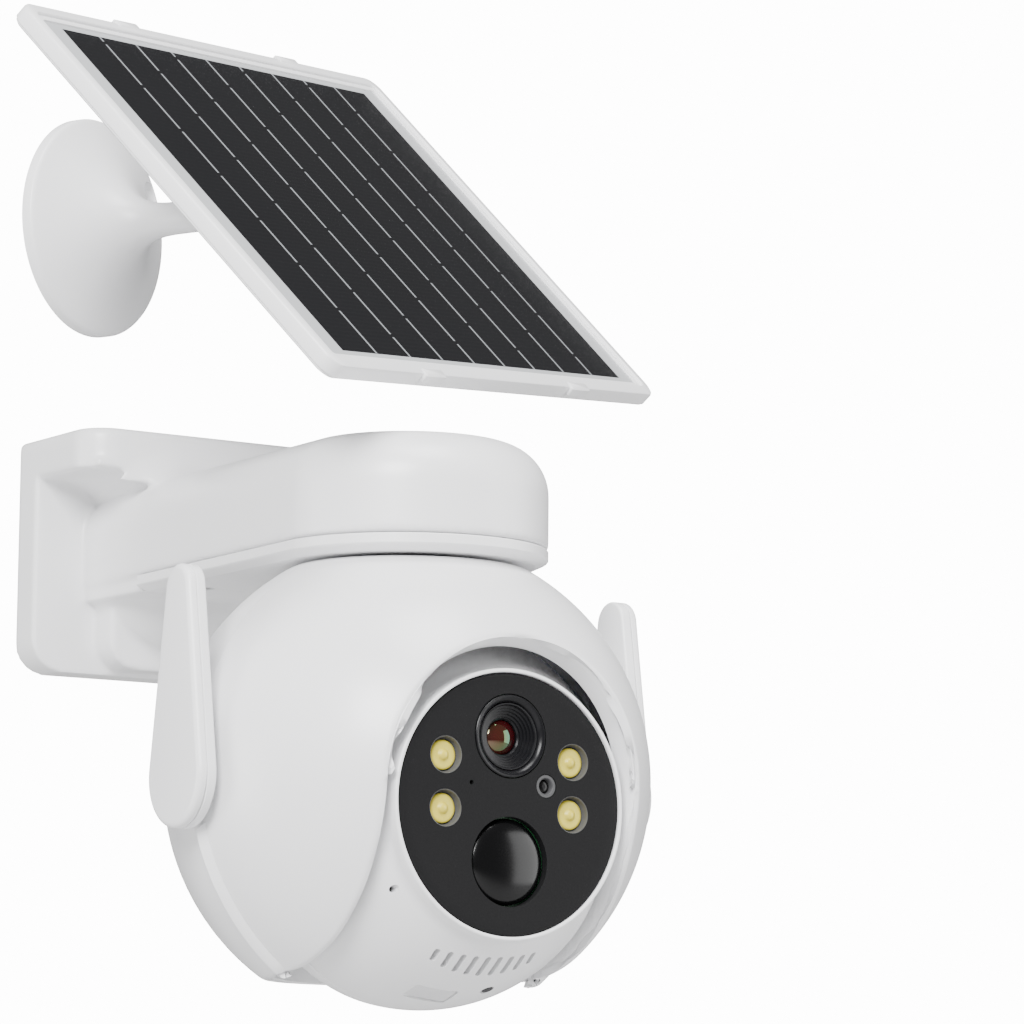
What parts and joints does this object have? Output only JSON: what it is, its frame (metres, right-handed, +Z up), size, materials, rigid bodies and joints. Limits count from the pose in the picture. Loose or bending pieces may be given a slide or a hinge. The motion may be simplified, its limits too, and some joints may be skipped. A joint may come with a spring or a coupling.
{
  "type": "solar-powered security camera",
  "caption": "Security camera: wall bracket arm, panning ball housing with paddle antennas, tilting round head, and a solar panel on a ball-jointed trumpet stand.",
  "frame": {"origin": "middle of the wall bracket's back face, on the wall plane", "axes": "+Y into the wall, -Y the way the camera looks, +Z up, +X to the right as seen from in front of the camera"},
  "size_m": [0.227, 0.191, 0.2848],
  "materials": {
    "white_plastic": "satin moulded white",
    "soft_white_plastic": "matt moulded off-white",
    "nylon": "matt natural nylon",
    "black_plastic": "fine-grained black",
    "gloss_black": "polished black",
    "dark_glass": "coated dark glass",
    "dark_rubber": "matt dark grey",
    "white_rubber": "matt white",
    "steel": "zinc-plated",
    "brass": "turned",
    "circuit_board": "solder-masked laminate",
    "yellow_lens": "phosphor-filled silicone",
    "battery_wrap": "shrink wrap",
    "solar_cells": "anti-reflection coated",
    "panel_glass": "tempered, smooth"
  },
  "bodies": {
    "mount": {"mount_bracket": "white_plastic", "arm_lower_cover": "white_plastic", "cover_screw_1": "steel", "cover_screw_2": "steel", "wall_plate": "steel", "lock_screw": "steel", "pan_bearing": "steel", "pan_motor": "steel", "stand": "white_plastic"},
    "pan_pinion_body": {"pan_pinion": "brass"},
    "pan_housing": {"ball_front_shell": "white_plastic", "ball_rear_shell": "white_plastic", "neck": "nylon", "pan_gear": "nylon", "main_board": "circuit_board", "battery_pack": "battery_wrap", "charge_port": "steel", "tilt_arm_left": "soft_white_plastic", "tilt_arm_right": "soft_white_plastic", "tilt_motor": "steel"},
    "port_plug_body": {"port_plug": "white_rubber"},
    "power_button_body": {"power_button": "white_rubber"},
    "tilt_pinion_body": {"tilt_pinion": "brass"},
    "antenna_left": {"antenna_left_inner": "white_plastic", "antenna_left_cover": "white_plastic"},
    "antenna_right": {"antenna_right_inner": "white_plastic", "antenna_right_cover": "white_plastic"},
    "head": {"head_front_shell": "white_plastic", "head_rear_shell": "white_plastic", "face_plate": "black_plastic", "led_board": "circuit_board", "led_1": "yellow_lens", "led_2": "yellow_lens", "led_3": "yellow_lens", "led_4": "yellow_lens", "light_sensor": "gloss_black", "pir_dome": "gloss_black", "lens_bezel": "black_plastic", "lens_barrel": "black_plastic", "lens_glass": "dark_glass", "image_board": "circuit_board", "speaker": "black_plastic", "tilt_axle_left": "steel", "tilt_axle_right": "steel", "tilt_gear": "nylon"},
    "card_flap_body": {"card_flap": "white_rubber"},
    "reset_button_body": {"reset_button": "dark_rubber"},
    "swing_ball": {"joint_ball": "soft_white_plastic"},
    "panel_cup": {"panel_socket": "white_plastic", "clamp_collar": "white_plastic"},
    "panel": {"panel_frame": "white_plastic", "solar_cells": "solar_cells", "panel_glass": "panel_glass", "panel_back": "white_plastic", "spin_pin": "steel", "junction_box": "white_plastic", "lead_gland": "dark_rubber"}
  },
  "joints": [
    {"name": "pan", "type": "hinge", "parent": "mount", "child": "pan_housing", "pos_m": [0, -0.1364, -0.0702], "axis": [0, 0, 1], "range_deg": [-175, 175]},
    {"name": "pan_pinion_spin", "type": "hinge", "parent": "mount", "child": "pan_pinion_body", "pos_m": [0, -0.1074, 0], "axis": [0, 0, 1], "range_deg": [-860, 860]},
    {"name": "tilt", "type": "hinge", "parent": "pan_housing", "child": "head", "pos_m": [0, -0.1429, -0.079], "axis": [1, 0, 0], "range_deg": [-5, 85]},
    {"name": "tilt_pinion_spin", "type": "hinge", "parent": "pan_housing", "child": "tilt_pinion_body", "pos_m": [0.0384, -0.12522, -0.06132], "axis": [1, 0, 0], "range_deg": [-345, 25]},
    {"name": "antenna_left_swing", "type": "hinge", "parent": "pan_housing", "child": "antenna_left", "pos_m": [-0.0678, -0.1359, -0.072], "axis": [1, 0, 0], "range_deg": [-90, 90]},
    {"name": "antenna_right_swing", "type": "hinge", "parent": "pan_housing", "child": "antenna_right", "pos_m": [0.0678, -0.1359, -0.072], "axis": [1, 0, 0], "range_deg": [-90, 90]},
    {"name": "port_plug_hinge", "type": "hinge", "parent": "pan_housing", "child": "port_plug_body", "pos_m": [-0.01, -0.0839, -0.1068], "axis": [-1, 0, 0], "range_deg": [0, 100]},
    {"name": "power_button_press", "type": "slide", "parent": "pan_housing", "child": "power_button_body", "axis": [0, -0.848, 0.5299], "range_m": [0, 0.0006], "stiffness_N_per_m": 200, "springref_m": -0.0005},
    {"name": "card_flap_hinge", "type": "hinge", "parent": "head", "child": "card_flap_body", "pos_m": [-0.008, -0.1565, -0.1285], "axis": [1, 0, 0], "range_deg": [0, 25]},
    {"name": "reset_button_press", "type": "slide", "parent": "head", "child": "reset_button_body", "axis": [0, 0.4067, 0.9135], "range_m": [0, 0.0005], "stiffness_N_per_m": 200, "springref_m": -0.0005},
    {"name": "panel_swing", "type": "hinge", "parent": "mount", "child": "swing_ball", "pos_m": [-0.01008, -0.06471, 0.0954], "axis": [0, 0, 1], "range_deg": [-20, 20]},
    {"name": "panel_tilt", "type": "hinge", "parent": "swing_ball", "child": "panel_cup", "pos_m": [-0.01008, -0.06471, 0.0954], "axis": [0.9063, 0.4226, 0], "range_deg": [-15, 1]},
    {"name": "panel_spin", "type": "hinge", "parent": "panel_cup", "child": "panel", "pos_m": [-0.01008, -0.06471, 0.0954], "axis": [-0.3194, 0.685, -0.6547], "range_deg": [0, 18]}
  ],
  "couplings": [
    {"joint": "pan_pinion_spin", "follows": "pan", "ratio": -4.8},
    {"joint": "tilt_pinion_spin", "follows": "tilt", "ratio": -4}
  ]
}
